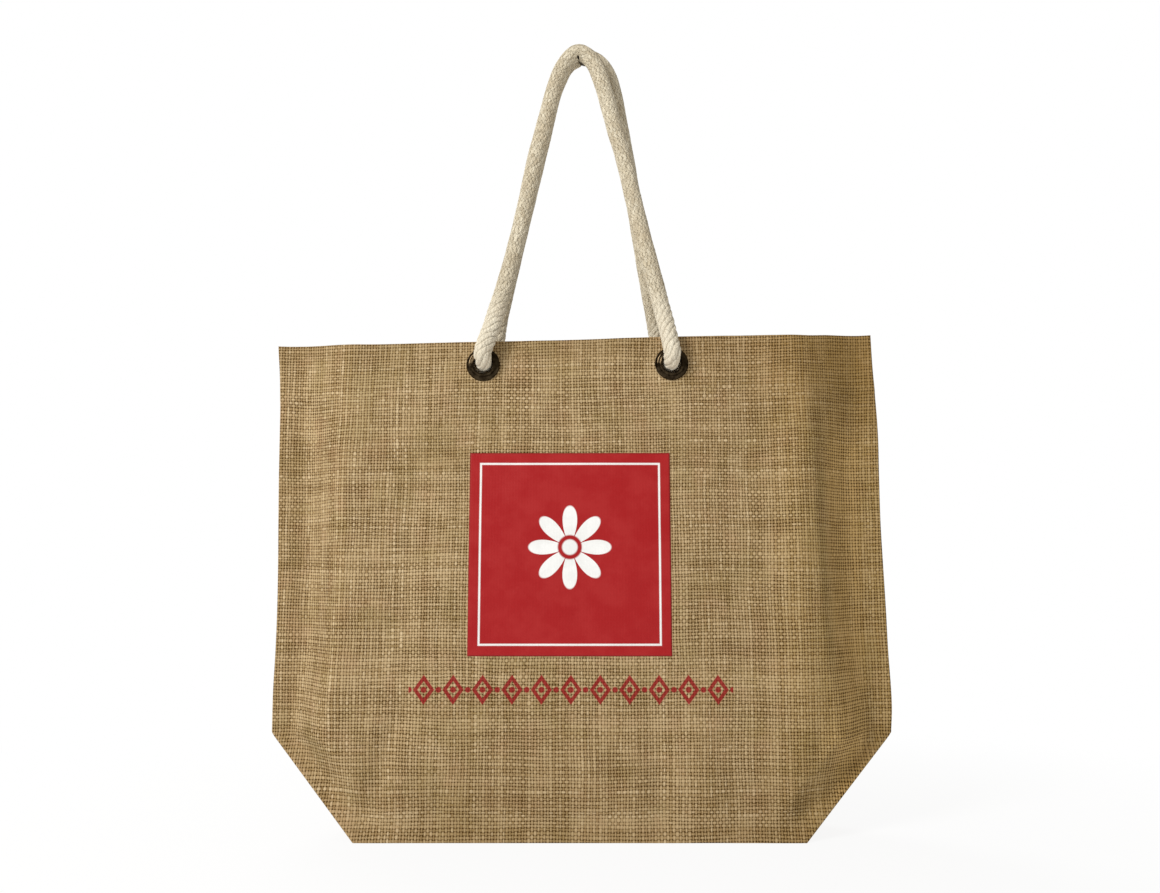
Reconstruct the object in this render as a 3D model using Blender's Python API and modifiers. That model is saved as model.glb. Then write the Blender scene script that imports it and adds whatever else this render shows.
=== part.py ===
"""Burlap tote bag with two rope handles, standing on its flat base.

Metres, +Z up. The front faces -Y and +X is its right side. The origin is on
the floor, under the middle of the base.

The body is three pieces of burlap: a front and a back panel, each with slanted
lower corners, and a base strip with pointed ends. The two panels meet in the
side seams, at y = 0. Below the side seams they part along the slants, where
the base strip's pointed ends are sewn in, and its middle lies on the floor.
"""

import math

import bmesh
import bpy
from mathutils import Matrix, Vector

# Cloth
CLOTH = 0.0015          # thickness of one layer of burlap
HEM_CLOTH = 0.0030      # the turned-in hem is two layers
HEM_DEPTH = 0.044       # from the rim down to the hem's stitching
GAP = 0.0003            # between pieces that touch
PANEL_FOOT = 0.0002     # the panels' lower edges clear the floor by this
PANEL_COLUMNS = 30
PANEL_ROWS = 21

# Outline of the panels, seen from the front
BASE_LEFT, BASE_RIGHT = -0.1441, 0.1476   # ends of the base's front edge
SLANT_TOP = 0.0652                        # height where slant meets side seam
RIM_HEIGHT = 0.3330                       # middle of the rim
# (height, x of the left side seam, x of the right side seam)
SIDE_SEAMS = (
    (0.0652, -0.2093, 0.2151),
    (0.0802, -0.2095, 0.2162),
    (0.0942, -0.2095, 0.2161),
    (0.1202, -0.2088, 0.2150),
    (0.1462, -0.2086, 0.2145),
    (0.1762, -0.2090, 0.2136),
    (0.2062, -0.2098, 0.2128),
    (0.2387, -0.2106, 0.2129),
    (0.2662, -0.2110, 0.2131),
    (0.2912, -0.2114, 0.2120),
    (0.3112, -0.2122, 0.2107),
    (0.3322, -0.2139, 0.2100),
    (0.3432, -0.2142, 0.2097),
)
# (x, height of the rim)
RIM = (
    (-0.2142, 0.3345),
    (-0.1972, 0.3337),
    (-0.1739, 0.3313),
    (-0.1550, 0.3299),
    (-0.1364, 0.3298),
    (-0.1150, 0.3303),
    (-0.0876, 0.3310),
    (0.0019, 0.3330),
    (0.0400, 0.3344),
    (0.0708, 0.3351),
    (0.1403, 0.3362),
    (0.1600, 0.3370),
    (0.1778, 0.3398),
    (0.1972, 0.3417),
    (0.2097, 0.3426),
)
# (height, half depth of the body, flat margin beside the seam, width of the bend inside it)
SECTIONS = (
    (0.0000, 0.0400, 0.000, 0.034),
    (0.0652, 0.0392, 0.010, 0.036),
    (0.1312, 0.0376, 0.019, 0.034),
    (0.2212, 0.0350, 0.019, 0.036),
    (0.2912, 0.0324, 0.012, 0.048),
    (0.3432, 0.0310, 0.006, 0.060),
)
# Soft folds: (x, height at the start, x, height at the end, half width, how far out)
FRONT_FOLDS = (
    (0.143, 0.100, 0.146, 0.262, 0.015, 0.0024),
    (-0.141, 0.006, -0.120, 0.070, 0.009, -0.0028),
    (-0.096, 0.004, -0.089, 0.036, 0.007, -0.0016),
    (0.150, 0.006, 0.157, 0.060, 0.008, -0.0026),
    (0.056, 0.004, 0.052, 0.060, 0.009, -0.0022),
    (0.087, 0.006, 0.082, 0.072, 0.012, 0.0018),
    (-0.117, 0.140, -0.111, 0.212, 0.013, -0.0018),
    (-0.040, 0.070, 0.030, 0.078, 0.014, -0.0010),
)
BACK_FOLDS = (
    (-0.140, 0.100, -0.147, 0.240, 0.015, 0.0022),
    (0.136, 0.006, 0.118, 0.074, 0.010, -0.0026),
    (-0.148, 0.006, -0.156, 0.058, 0.008, -0.0024),
    (-0.050, 0.005, -0.044, 0.066, 0.010, -0.0022),
    (0.030, 0.005, 0.036, 0.050, 0.009, -0.0016),
    (0.100, 0.130, 0.108, 0.210, 0.014, -0.0018),
    (-0.060, 0.170, 0.040, 0.182, 0.018, -0.0012),
)

# Printed film on the front panel
FILM_X = (-0.0724, 0.0626)
FILM_Z = (0.1184, 0.2536)
FILM_THICKNESS = 0.0003
FILM_CELLS = 10

# Eyelets
EYELET_HOLE = 0.0062
EYELET_BARREL = 0.0071
EYELET_FLANGE = 0.0115
EYELET_WASHER = 0.0104
EYELET_STEPS = 24
# (name, x, height, how far the rope lies right of its middle, and above it)
EYELETS = (
    ("left", -0.0645, 0.3149, 0.0005, 0.0006),
    ("right", 0.0648, 0.3157, -0.0004, 0.0002),
)

# Rope
ROPE_RADIUS = 0.0059
KNOT_HALF = (0.0158, 0.0114, 0.0150)      # half its width, depth and height
KNOT_OUT = -0.0053                        # its near side, out from the cloth's face
# The rope's first bend, from the knot through the eyelet and up: (out from the cloth's face, up, share of its radius)
LEAD = (
    (-0.0048, 0.0000, 0.84),
    (-0.0015, 0.0000, 0.84),
    (0.0015, 0.0001, 0.85),
    (0.0048, 0.0009, 0.89),
    (0.0078, 0.0031, 0.95),
    (0.0093, 0.0074, 0.99),
)
# Route of the front handle between its two bends: (x, out from the middle plane, height)
FRONT_ROUTE = (
    (-0.0591, 0.0392, 0.3377),
    (-0.0571, 0.0380, 0.3449),
    (-0.0491, 0.0332, 0.3743),
    (-0.0420, 0.0285, 0.4044),
    (-0.0357, 0.0236, 0.4352),
    (-0.0301, 0.0186, 0.4667),
    (-0.0247, 0.0148, 0.4908),
    (-0.0194, 0.0110, 0.5145),
    (-0.0149, 0.0080, 0.5321),
    (-0.0097, 0.0065, 0.5441),
    (-0.0043, 0.0062, 0.5514),
    (0.0012, 0.0062, 0.5540),
    (0.0067, 0.0062, 0.5516),
    (0.0112, 0.0064, 0.5468),
    (0.0144, 0.0069, 0.5404),
    (0.0179, 0.0085, 0.5296),
    (0.0215, 0.0108, 0.5155),
    (0.0271, 0.0148, 0.4908),
    (0.0332, 0.0190, 0.4667),
    (0.0397, 0.0236, 0.4352),
    (0.0462, 0.0285, 0.4044),
    (0.0533, 0.0332, 0.3743),
    (0.0600, 0.0380, 0.3448),
    (0.0618, 0.0392, 0.3372),
)
# Route of the back handle, which stands to the right of the front one at its top
BACK_ROUTE = (
    (-0.0618, 0.0392, 0.3377),
    (-0.0608, 0.0380, 0.3449),
    (-0.0582, 0.0359, 0.3628),
    (-0.0512, 0.0306, 0.3924),
    (-0.0442, 0.0257, 0.4219),
    (-0.0371, 0.0210, 0.4513),
    (-0.0298, 0.0164, 0.4806),
    (-0.0243, 0.0129, 0.5026),
    (-0.0190, 0.0094, 0.5246),
    (-0.0127, 0.0069, 0.5414),
    (-0.0070, 0.0063, 0.5504),
    (-0.0008, 0.0062, 0.5547),
    (0.0055, 0.0062, 0.5560),
    (0.0120, 0.0062, 0.5546),
    (0.0180, 0.0064, 0.5499),
    (0.0231, 0.0069, 0.5415),
    (0.0258, 0.0078, 0.5337),
    (0.0282, 0.0094, 0.5238),
    (0.0324, 0.0129, 0.5026),
    (0.0367, 0.0164, 0.4806),
    (0.0418, 0.0210, 0.4512),
    (0.0470, 0.0257, 0.4218),
    (0.0520, 0.0306, 0.3923),
    (0.0573, 0.0359, 0.3628),
    (0.0603, 0.0380, 0.3449),
    (0.0612, 0.0392, 0.3372),
)


def column(table, at, k):
    """Value in column k of a table at a place between its rows, on a smooth curve through them."""
    if at <= table[0][0]:
        return table[0][k]
    if at >= table[-1][0]:
        return table[-1][k]
    i = 0
    while at > table[i + 1][0]:
        i += 1

    def slope(j):
        before, after = max(j - 1, 0), min(j + 1, len(table) - 1)
        return (table[after][k] - table[before][k]) / (table[after][0] - table[before][0])

    run = table[i + 1][0] - table[i][0]
    t = (at - table[i][0]) / run
    return (
        table[i][k] * (1 + 2 * t) * (1 - t) ** 2
        + table[i + 1][k] * (3 - 2 * t) * t**2
        + slope(i) * run * t * (1 - t) ** 2
        - slope(i + 1) * run * (1 - t) * t**2
    )


def ease(t):
    t = min(1.0, max(0.0, t))
    return t * t * (3 - 2 * t)


def edge_x(z, side):
    """x of the panels' edge at a height: the slant below SLANT_TOP and the side seam above it. side is 1 for left, 2 for right."""
    if z < SLANT_TOP:
        corner = BASE_LEFT if side == 1 else BASE_RIGHT
        return corner + (SIDE_SEAMS[0][side] - corner) * z / SLANT_TOP
    return column(SIDE_SEAMS, z, side)


def cloth_at(z, x):
    """Thickness of the panel there: one layer, and two in the hem."""
    start = column(RIM, x, 1) - HEM_DEPTH
    return CLOTH + (HEM_CLOTH - CLOTH) * ease((z - start) / 0.006)


def fold_height(folds, x, z):
    """How far the soft folds push the cloth out at a point."""
    out = 0.0
    for x0, z0, x1, z1, half_width, height in folds:
        dx, dz = x1 - x0, z1 - z0
        length = math.hypot(dx, dz)
        along = ((x - x0) * dx + (z - z0) * dz) / length
        across = ((x - x0) * dz - (z - z0) * dx) / length
        past = max(0.0, -along, along - length) / (1.6 * half_width)
        out += height * math.exp(-((across / half_width) ** 2) - past**2)
    return out


def depth(x, z, folds):
    """Distance of the panel's outer face from the plane of the side seams."""
    half = column(SECTIONS, z, 1)
    margin = column(SECTIONS, z, 2)
    bend = column(SECTIONS, z, 3)
    seam = cloth_at(z, x) + GAP / 2
    left, right = edge_x(z, 1), edge_x(z, 2)
    from_edge = min(x - left, right - x)
    at_edge = max(0.0, 1 - z / SLANT_TOP)
    full = at_edge + (1 - at_edge) * ease((from_edge - margin) / bend)
    inside = ease((from_edge - 0.3 * margin) / (0.6 * bend)) * min(1.0, z / 0.02)
    return seam + (half - seam) * full + fold_height(folds, x, z) * inside


def panel_point(u, v, folds, facing):
    """Point of a panel's outer face: u runs from its left edge to its right, v from the floor to the rim. facing is -1 for the front and 1 for the back."""
    z = PANEL_FOOT + (RIM_HEIGHT - PANEL_FOOT) * v
    left, right = edge_x(z, 1), edge_x(z, 2)
    x = left + (right - left) * u
    z += (column(RIM, x, 1) - RIM_HEIGHT) * v**3
    return Vector((x, facing * depth(x, z, folds), z))


def spaced(n, crowding):
    """n + 1 numbers from 0 to 1, closer together towards both ends."""
    rows = [i / n for i in range(n + 1)]
    return [t - crowding * math.sin(2 * math.pi * t) / (2 * math.pi) for t in rows]


def plain_material(name, colour, roughness, metallic=0.0):
    material = bpy.data.materials.new(name)
    material.use_nodes = True
    shader = material.node_tree.nodes["Principled BSDF"]
    shader.inputs["Base Color"].default_value = (*colour, 1)
    shader.inputs["Roughness"].default_value = roughness
    shader.inputs["Metallic"].default_value = metallic
    return material


def add_object(name, data, material, collection):
    data.materials.append(material)
    made = bpy.data.objects.new(name, data)
    collection.objects.link(made)
    return made


def grid_mesh(name, points, flip):
    """Mesh of one open surface through rows of points."""
    mesh = bpy.data.meshes.new(name)
    shape = bmesh.new()
    made = [[shape.verts.new(p) for p in row] for row in points]
    for low, high in zip(made, made[1:]):
        for i in range(len(low) - 1):
            corners = (low[i], low[i + 1], high[i + 1], high[i])
            shape.faces.new(corners[::-1] if flip else corners)
    shape.to_mesh(mesh)
    shape.free()
    mesh.shade_smooth()
    return mesh


def set_thickness(made, thickness, group=None, thin_share=1.0):
    """Gives an open surface a thickness, on the side away from its normals."""
    solidify = made.modifiers.new("thickness", "SOLIDIFY")
    solidify.thickness = thickness
    solidify.offset = -1
    solidify.use_even_offset = True
    if group:
        solidify.vertex_group = group
        solidify.thickness_vertex_group = thin_share


def add_panel(name, folds, facing, collection, material):
    columns, rows = spaced(PANEL_COLUMNS, 0.45), spaced(PANEL_ROWS, 0.25)
    points = [[panel_point(u, v, folds, facing) for u in columns] for v in rows]
    made = add_object(name, grid_mesh(name, points, facing > 0), material, collection)
    hem = made.vertex_groups.new(name="hem")
    for vertex in made.data.vertices:
        layers = (cloth_at(vertex.co.z, vertex.co.x) - CLOTH) / (HEM_CLOTH - CLOTH)
        hem.add([vertex.index], layers, "REPLACE")
    set_thickness(made, HEM_CLOTH, "hem", CLOTH / HEM_CLOTH)
    return made


def cut_hole(made, at, axis, cutters):
    """Cuts the round hole that an eyelet's barrel passes through."""
    shape = bmesh.new()
    bmesh.ops.create_cone(
        shape,
        cap_ends=True,
        segments=EYELET_STEPS,
        radius1=EYELET_BARREL + GAP,
        radius2=EYELET_BARREL + GAP,
        depth=0.02,
    )
    mesh = bpy.data.meshes.new("hole")
    shape.to_mesh(mesh)
    shape.free()
    cutter = bpy.data.objects.new("hole_for_" + made.name, mesh)
    cutter.matrix_world = placed(at, axis)
    cutter.hide_render = True
    cutter.display_type = "WIRE"
    cutters.objects.link(cutter)
    cut = made.modifiers.new("hole", "BOOLEAN")
    cut.operation = "DIFFERENCE"
    cut.object = cutter


def placed(at, axis):
    """Matrix that carries local +Z to an axis, at a point."""
    turn = Vector((0, 0, 1)).rotation_difference(axis).to_matrix().to_4x4()
    return Matrix.Translation(at) @ turn


def panel_axis(x, z, folds, facing):
    """The panel's outward normal at a point, level from side to side."""
    step = 0.012
    rise = depth(x, z + step, folds) - depth(x, z - step, folds)
    return Vector((0, facing, -rise / (2 * step))).normalized()


def eyelet_profile():
    """(radius, distance out from the cloth's face), down the outside from the flange's lip and back up through the hole."""
    back = -HEM_CLOTH - GAP
    return (
        (EYELET_HOLE, 0.0010),
        (0.0064, 0.0021),
        (0.0075, 0.0027),
        (0.0089, 0.0026),
        (0.0102, 0.0018),
        (EYELET_FLANGE, 0.0008),
        (EYELET_FLANGE, GAP),
        (EYELET_BARREL, GAP),
        (EYELET_BARREL, back),
        (EYELET_WASHER, back),
        (EYELET_WASHER, back - 0.0005),
        (0.0088, back - 0.0012),
        (0.0072, back - 0.0014),
        (EYELET_HOLE, back - 0.0008),
    )


def add_eyelet(name, at, axis, collection, material):
    mesh = bpy.data.meshes.new(name)
    shape = bmesh.new()
    ring = [shape.verts.new((r, 0, out)) for r, out in eyelet_profile()]
    for a, b in zip(ring, ring[1:] + ring[:1]):
        shape.edges.new((a, b))
    shape.to_mesh(mesh)
    shape.free()
    made = add_object(name, mesh, material, collection)
    screw = made.modifiers.new("turn", "SCREW")
    screw.steps = screw.render_steps = EYELET_STEPS
    screw.use_merge_vertices = True
    screw.merge_threshold = 1e-5
    screw.use_normal_calculate = True
    screw.use_smooth_shade = True
    made.matrix_world = placed(at, axis)
    return made


def handle_points(route, folds, facing):
    """(point, share of the rope's radius) along a handle, from its left knot to its right one."""
    ends = []
    for side, x, z, right, lift in EYELETS:
        out = depth(x, z, folds)
        ends.append(
            [
                ((x + right, facing * (out + a), z + lift + up), share)
                for a, up, share in LEAD
            ]
        )
    middle = [((x, facing * out, z), 1.0) for x, out, z in route]
    return smooth(ends[0] + middle + ends[1][::-1], 2)


def smooth(rows, parts):
    """Rows of (point, share) on a smooth curve through the given ones."""
    rows = [(*p, share) for p, share in rows]
    rows = [rows[0], *rows, rows[-1]]
    made = []
    for a, b, c, d in zip(rows, rows[1:], rows[2:], rows[3:]):
        for i in range(parts):
            t = i / parts
            made.append(
                [
                    0.5
                    * (
                        2 * b[k]
                        + (c[k] - a[k]) * t
                        + (2 * a[k] - 5 * b[k] + 4 * c[k] - d[k]) * t**2
                        + (3 * b[k] - a[k] - 3 * c[k] + d[k]) * t**3
                    )
                    for k in range(4)
                ]
            )
    made.append(list(rows[-1]))
    return made


def add_rope(name, points, collection, material):
    curve = bpy.data.curves.new(name, "CURVE")
    curve.dimensions = "3D"
    spline = curve.splines.new("POLY")
    spline.points.add(len(points) - 1)
    for made, (x, y, z, share) in zip(spline.points, points):
        made.co = (x, y, z, 1)
        made.radius = share
    curve.bevel_depth = ROPE_RADIUS
    curve.bevel_resolution = 2
    curve.use_fill_caps = True
    return add_object(name, curve, material, collection)


def add_knot(name, at, facing, collection, material):
    """Stopper knot against the eyelet's inner side: a flattened ball with the three lobes of an overhand knot."""
    mesh = bpy.data.meshes.new(name)
    shape = bmesh.new()
    bmesh.ops.create_uvsphere(shape, u_segments=18, v_segments=11, radius=1.0)
    for vertex in shape.verts:
        p = vertex.co
        turn = math.atan2(p.z, p.x)
        round_here = math.hypot(p.x, p.z)
        lobe = 1 + 0.07 * round_here * math.cos(3 * turn + 0.6)
        vertex.co = (p.x * lobe * KNOT_HALF[0], p.y * KNOT_HALF[1], p.z * lobe * KNOT_HALF[2])
    shape.to_mesh(mesh)
    shape.free()
    mesh.shade_smooth()
    made = add_object(name, mesh, material, collection)
    made.location = at + Vector((0, facing * (KNOT_OUT - KNOT_HALF[1]), 0))
    return made


def gusset_half_width(x, z):
    """Half the base strip's width, so that both its faces clear the panels."""
    towards_middle = CLOTH if x < 0 else -CLOTH
    return (
        min(depth(x, z, ()), depth(x + towards_middle, z + CLOTH, ()))
        - 1.2 * CLOTH
        - GAP
    )


def add_gusset(collection, material):
    """Base strip: its middle on the floor, its two pointed ends rising between the panels to the foot of the side seams."""
    last = 0.93
    rows = []
    for side, corner in ((1, BASE_LEFT), (2, BASE_RIGHT)):
        tip = SIDE_SEAMS[0][side]
        rising = []
        for i in range(9):
            t = last * i / 8
            z = SLANT_TOP * t
            rising.append((corner + (tip - corner) * t, z))
        rows.append(rising)
    middle = [
        (BASE_LEFT + (BASE_RIGHT - BASE_LEFT) * i / 10, 0.0) for i in range(1, 10)
    ]
    line = rows[0][::-1] + middle + rows[1]
    points = []
    for x, z in line:
        edge = edge_x(z, 1) if x < 0 else edge_x(z, 2)
        at = x if z == 0 else edge
        half = gusset_half_width(at, max(z, 0.0))
        points.append([Vector((x, half * k / 3, z)) for k in range(-3, 4)])
    made = add_object(
        "base_gusset", grid_mesh("base_gusset", points, False), material, collection
    )
    set_thickness(made, CLOTH)
    return made


def add_film(collection, material):
    """Film on the outer face of the front panel."""
    points = []
    for j in range(FILM_CELLS + 1):
        z = FILM_Z[0] + (FILM_Z[1] - FILM_Z[0]) * j / FILM_CELLS
        row = []
        for i in range(FILM_CELLS + 1):
            x = FILM_X[0] + (FILM_X[1] - FILM_X[0]) * i / FILM_CELLS
            out = depth(x, z, FRONT_FOLDS) + 2 * GAP + FILM_THICKNESS
            row.append(Vector((x, -out, z)))
        points.append(row)
    made = add_object(
        "print_film", grid_mesh("print_film", points, False), material, collection
    )
    set_thickness(made, FILM_THICKNESS)
    return made


def main():
    for old in list(bpy.data.objects):
        bpy.data.objects.remove(old)
    bag = bpy.data.collections.new("burlap_tote_bag")
    cutters = bpy.data.collections.new("cutters")
    for made in (bag, cutters):
        bpy.context.scene.collection.children.link(made)

    burlap = plain_material("burlap", (0.42, 0.28, 0.135), 0.95)
    rope = plain_material("cotton_rope", (0.70, 0.62, 0.47), 0.9)
    metal = plain_material("aged_brass", (0.09, 0.07, 0.05), 0.38, 0.9)
    red = plain_material("red_film", (0.36, 0.022, 0.028), 0.45)

    for name, folds, facing in (("front", FRONT_FOLDS, -1), ("back", BACK_FOLDS, 1)):
        panel = add_panel(name + "_panel", folds, facing, bag, burlap)
        for side, x, z, _, _ in EYELETS:
            at = Vector((x, facing * depth(x, z, folds), z))
            axis = panel_axis(x, z, folds, facing)
            cut_hole(panel, at, axis, cutters)
            add_eyelet(f"eyelet_{name}_{side}", at, axis, bag, metal)
            add_knot(f"knot_{name}_{side}", at, facing, bag, rope)
    add_gusset(bag, burlap)
    add_film(bag, red)
    for name, route, folds, facing in (
        ("handle_front", FRONT_ROUTE, FRONT_FOLDS, -1),
        ("handle_back", BACK_ROUTE, BACK_FOLDS, 1),
    ):
        add_rope(name, handle_points(route, folds, facing), bag, rope)


main()
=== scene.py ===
import math

import bpy
import numpy as np
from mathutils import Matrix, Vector


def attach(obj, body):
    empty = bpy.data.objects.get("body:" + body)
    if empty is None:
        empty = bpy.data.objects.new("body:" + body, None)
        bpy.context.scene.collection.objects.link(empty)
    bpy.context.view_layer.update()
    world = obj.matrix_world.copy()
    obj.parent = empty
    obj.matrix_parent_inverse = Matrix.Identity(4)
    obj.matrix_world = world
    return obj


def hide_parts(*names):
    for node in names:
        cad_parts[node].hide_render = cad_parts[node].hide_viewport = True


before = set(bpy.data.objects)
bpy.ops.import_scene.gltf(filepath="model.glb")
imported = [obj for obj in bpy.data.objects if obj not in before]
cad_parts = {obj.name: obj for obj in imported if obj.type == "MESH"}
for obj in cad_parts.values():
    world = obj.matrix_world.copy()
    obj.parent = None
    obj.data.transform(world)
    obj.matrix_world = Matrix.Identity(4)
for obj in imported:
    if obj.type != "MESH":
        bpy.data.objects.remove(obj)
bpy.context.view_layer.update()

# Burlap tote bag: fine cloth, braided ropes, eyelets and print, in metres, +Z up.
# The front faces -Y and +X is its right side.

TAU = 2 * math.pi

# ---------------------------------------------------------------- sizes, as in the CAD source
CLOTH = 0.0015
HEM_CLOTH = 0.0030
HEM_DEPTH = 0.044
GAP = 0.0003
PANEL_FOOT = 0.0002
BASE_LEFT, BASE_RIGHT = -0.1441, 0.1476
SLANT_TOP = 0.0652
RIM_HEIGHT = 0.3330
# (height, x of the left side seam, x of the right side seam)
SIDE_SEAMS = (
    (0.0652, -0.2093, 0.2151),
    (0.0802, -0.2095, 0.2162),
    (0.0942, -0.2095, 0.2161),
    (0.1202, -0.2088, 0.2150),
    (0.1462, -0.2086, 0.2145),
    (0.1762, -0.2090, 0.2136),
    (0.2062, -0.2098, 0.2128),
    (0.2387, -0.2106, 0.2129),
    (0.2662, -0.2110, 0.2131),
    (0.2912, -0.2114, 0.2120),
    (0.3112, -0.2122, 0.2107),
    (0.3322, -0.2139, 0.2100),
    (0.3432, -0.2142, 0.2097),
)
# (x, height of the rim)
RIM = (
    (-0.2142, 0.3345),
    (-0.1972, 0.3337),
    (-0.1739, 0.3313),
    (-0.1550, 0.3299),
    (-0.1364, 0.3298),
    (-0.1150, 0.3303),
    (-0.0876, 0.3310),
    (0.0019, 0.3330),
    (0.0400, 0.3344),
    (0.0708, 0.3351),
    (0.1403, 0.3362),
    (0.1600, 0.3370),
    (0.1778, 0.3398),
    (0.1972, 0.3417),
    (0.2097, 0.3426),
)
# (height, half depth of the body, flat margin beside the seam, width of the bend inside it)
SECTIONS = (
    (0.0000, 0.0400, 0.000, 0.034),
    (0.0652, 0.0392, 0.010, 0.036),
    (0.1312, 0.0376, 0.019, 0.034),
    (0.2212, 0.0350, 0.019, 0.036),
    (0.2912, 0.0324, 0.012, 0.048),
    (0.3432, 0.0310, 0.006, 0.060),
)
# Soft folds: (x, height at the start, x, height at the end, half width, how far out)
FRONT_FOLDS = (
    (0.143, 0.100, 0.146, 0.262, 0.015, 0.0024),
    (-0.141, 0.006, -0.120, 0.070, 0.009, -0.0028),
    (-0.096, 0.004, -0.089, 0.036, 0.007, -0.0016),
    (0.150, 0.006, 0.157, 0.060, 0.008, -0.0026),
    (0.056, 0.004, 0.052, 0.060, 0.009, -0.0022),
    (0.087, 0.006, 0.082, 0.072, 0.012, 0.0018),
    (-0.117, 0.140, -0.111, 0.212, 0.013, -0.0018),
    (-0.040, 0.070, 0.030, 0.078, 0.014, -0.0010),
)
BACK_FOLDS = (
    (-0.140, 0.100, -0.147, 0.240, 0.015, 0.0022),
    (0.136, 0.006, 0.118, 0.074, 0.010, -0.0026),
    (-0.148, 0.006, -0.156, 0.058, 0.008, -0.0024),
    (-0.050, 0.005, -0.044, 0.066, 0.010, -0.0022),
    (0.030, 0.005, 0.036, 0.050, 0.009, -0.0016),
    (0.100, 0.130, 0.108, 0.210, 0.014, -0.0018),
    (-0.060, 0.170, 0.040, 0.182, 0.018, -0.0012),
)
FILM_X = (-0.0724, 0.0626)
FILM_Z = (0.1184, 0.2536)
FILM_THICKNESS = 0.0003
EYELET_HOLE = 0.0062
EYELET_FLANGE = 0.0115
EYELET_WASHER = 0.0104
# (name, x, height, how far the rope lies right of its middle, and above it)
EYELETS = (
    ("left", -0.0645, 0.3149, 0.0005, 0.0006),
    ("right", 0.0648, 0.3157, -0.0004, 0.0002),
)
ROPE_RADIUS = 0.0059
KNOT_HALF = (0.0158, 0.0114, 0.0150)
KNOT_OUT = -0.0053
# First bend: (out from the cloth's face, up, share of the rope's radius)
LEAD = (
    (-0.0048, 0.0000, 0.84),
    (-0.0015, 0.0000, 0.84),
    (0.0015, 0.0001, 0.85),
    (0.0048, 0.0009, 0.89),
    (0.0078, 0.0031, 0.95),
    (0.0093, 0.0074, 0.99),
)
# Handle routes: (x, out from the middle plane, height)
FRONT_ROUTE = (
    (-0.0591, 0.0392, 0.3377),
    (-0.0571, 0.0380, 0.3449),
    (-0.0491, 0.0332, 0.3743),
    (-0.0420, 0.0285, 0.4044),
    (-0.0357, 0.0236, 0.4352),
    (-0.0301, 0.0186, 0.4667),
    (-0.0247, 0.0148, 0.4908),
    (-0.0194, 0.0110, 0.5145),
    (-0.0149, 0.0080, 0.5321),
    (-0.0097, 0.0065, 0.5441),
    (-0.0043, 0.0062, 0.5514),
    (0.0012, 0.0062, 0.5540),
    (0.0067, 0.0062, 0.5516),
    (0.0112, 0.0064, 0.5468),
    (0.0144, 0.0069, 0.5404),
    (0.0179, 0.0085, 0.5296),
    (0.0215, 0.0108, 0.5155),
    (0.0271, 0.0148, 0.4908),
    (0.0332, 0.0190, 0.4667),
    (0.0397, 0.0236, 0.4352),
    (0.0462, 0.0285, 0.4044),
    (0.0533, 0.0332, 0.3743),
    (0.0600, 0.0380, 0.3448),
    (0.0618, 0.0392, 0.3372),
)
BACK_ROUTE = (
    (-0.0618, 0.0392, 0.3377),
    (-0.0608, 0.0380, 0.3449),
    (-0.0582, 0.0359, 0.3628),
    (-0.0512, 0.0306, 0.3924),
    (-0.0442, 0.0257, 0.4219),
    (-0.0371, 0.0210, 0.4513),
    (-0.0298, 0.0164, 0.4806),
    (-0.0243, 0.0129, 0.5026),
    (-0.0190, 0.0094, 0.5246),
    (-0.0127, 0.0069, 0.5414),
    (-0.0070, 0.0063, 0.5504),
    (-0.0008, 0.0062, 0.5547),
    (0.0055, 0.0062, 0.5560),
    (0.0120, 0.0062, 0.5546),
    (0.0180, 0.0064, 0.5499),
    (0.0231, 0.0069, 0.5415),
    (0.0258, 0.0078, 0.5337),
    (0.0282, 0.0094, 0.5238),
    (0.0324, 0.0129, 0.5026),
    (0.0367, 0.0164, 0.4806),
    (0.0418, 0.0210, 0.4512),
    (0.0470, 0.0257, 0.4218),
    (0.0520, 0.0306, 0.3923),
    (0.0573, 0.0359, 0.3628),
    (0.0603, 0.0380, 0.3449),
    (0.0612, 0.0392, 0.3372),
)

# ---------------------------------------------------------------- sizes of the finish
WARP = 0.001988          # from one upright thread to the next
# (height, from one level thread to the next)
WEFT = ((0.0, 0.00221), (0.035, 0.00219), (0.170, 0.00208), (0.300, 0.00204), (0.345, 0.00203))
STRANDS = 12             # of the rope's braid, each way round
STRAND_PITCH = 0.064     # a strand goes round the rope once in this length


# ---------------------------------------------------------------- camera
lens = bpy.data.cameras.new("camera")
lens.sensor_fit = "HORIZONTAL"
lens.sensor_width = 36.0
lens.lens = 36.0 * 1120 / 1160
lens.clip_start, lens.clip_end = 0.05, 30
camera = bpy.data.objects.new("camera", lens)
camera.location = (0.0022, -0.7866, 0.1606)
camera.rotation_euler = (math.radians(90 + 7.3811), 0, math.radians(0.0238))
bpy.context.scene.collection.objects.link(camera)
bpy.context.scene.camera = camera


# ---------------------------------------------------------------- the cloth's form, on arrays
def column(table, at, k):
    """Column k of a table at places between its rows, on a smooth curve through them."""
    keys = np.array([row[0] for row in table])
    values = np.array([row[k] for row in table])
    slopes = np.empty_like(values)
    slopes[1:-1] = (values[2:] - values[:-2]) / (keys[2:] - keys[:-2])
    slopes[0] = (values[1] - values[0]) / (keys[1] - keys[0])
    slopes[-1] = (values[-1] - values[-2]) / (keys[-1] - keys[-2])
    at = np.clip(np.asarray(at, float), keys[0], keys[-1])
    i = np.clip(np.searchsorted(keys, at, side="left") - 1, 0, len(keys) - 2)
    run = keys[i + 1] - keys[i]
    t = (at - keys[i]) / run
    return (
        values[i] * (1 + 2 * t) * (1 - t) ** 2
        + values[i + 1] * (3 - 2 * t) * t**2
        + slopes[i] * run * t * (1 - t) ** 2
        - slopes[i + 1] * run * (1 - t) * t**2
    )


def ease(t):
    t = np.clip(t, 0.0, 1.0)
    return t * t * (3 - 2 * t)


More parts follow.
